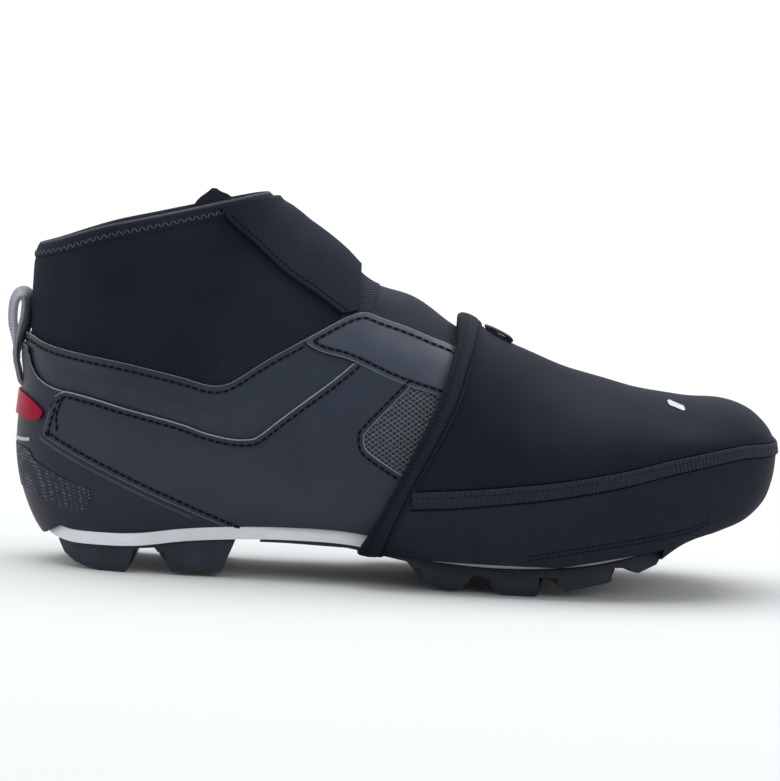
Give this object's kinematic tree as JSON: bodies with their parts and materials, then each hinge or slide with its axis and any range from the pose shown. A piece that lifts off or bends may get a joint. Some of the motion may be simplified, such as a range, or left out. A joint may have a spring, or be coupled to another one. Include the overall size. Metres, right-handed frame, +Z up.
{
  "type": "cycling shoe with toe overshoe",
  "caption": "Ankle-high off-road cycling shoe with a stiff plate, lugged rubber sole and neoprene cuff, its toe covered by a neoprene overshoe that straps under the arch.",
  "frame": {"origin": "centre of the bounding box on the floor, under the sole", "axes": "+X from heel to toe, +Z up, +Y towards the inner side of the foot, -Y the outer side"},
  "size_m": [0.3022, 0.1106, 0.1469],
  "materials": {
    "leather": "smooth dark grey-blue leather, fine grain, semi-matt",
    "panel_leather": "smooth dark side panel, satin",
    "neoprene": "knit-faced neoprene, matt",
    "softshell": "brushed softshell, matt",
    "overshoe_neoprene": "laminated neoprene, satin",
    "binding_tape": "woven elastic tape, matt",
    "rubber": "moulded rubber, matt",
    "plate_nylon": "light grey moulded nylon, satin",
    "mesh": "coarse mesh with light threads",
    "webbing": "grey webbing",
    "label": "red moulded pad, plain",
    "foam": "foam with a cloth face"
  },
  "bodies": {
    "root": {"sole_plate": "plate_nylon", "heel_outsole": "rubber", "forefoot_outsole": "rubber", "insole": "foam", "upper": "leather", "quarter_outer": "panel_leather", "quarter_inner": "panel_leather", "eyestay_outer": "panel_leather", "eyestay_inner": "panel_leather", "mesh_insert_outer": "mesh", "mesh_insert_inner": "mesh", "heel_counter": "panel_leather", "heel_label": "label", "heel_loop": "webbing", "ankle_cuff": "neoprene", "cuff_flap": "neoprene", "cuff_tab": "neoprene", "tongue": "softshell", "overshoe_top": "overshoe_neoprene", "overshoe_rand": "overshoe_neoprene", "overshoe_seam_tape": "binding_tape", "overshoe_binding": "binding_tape", "overshoe_pull": "binding_tape"}
  },
  "joints": []
}
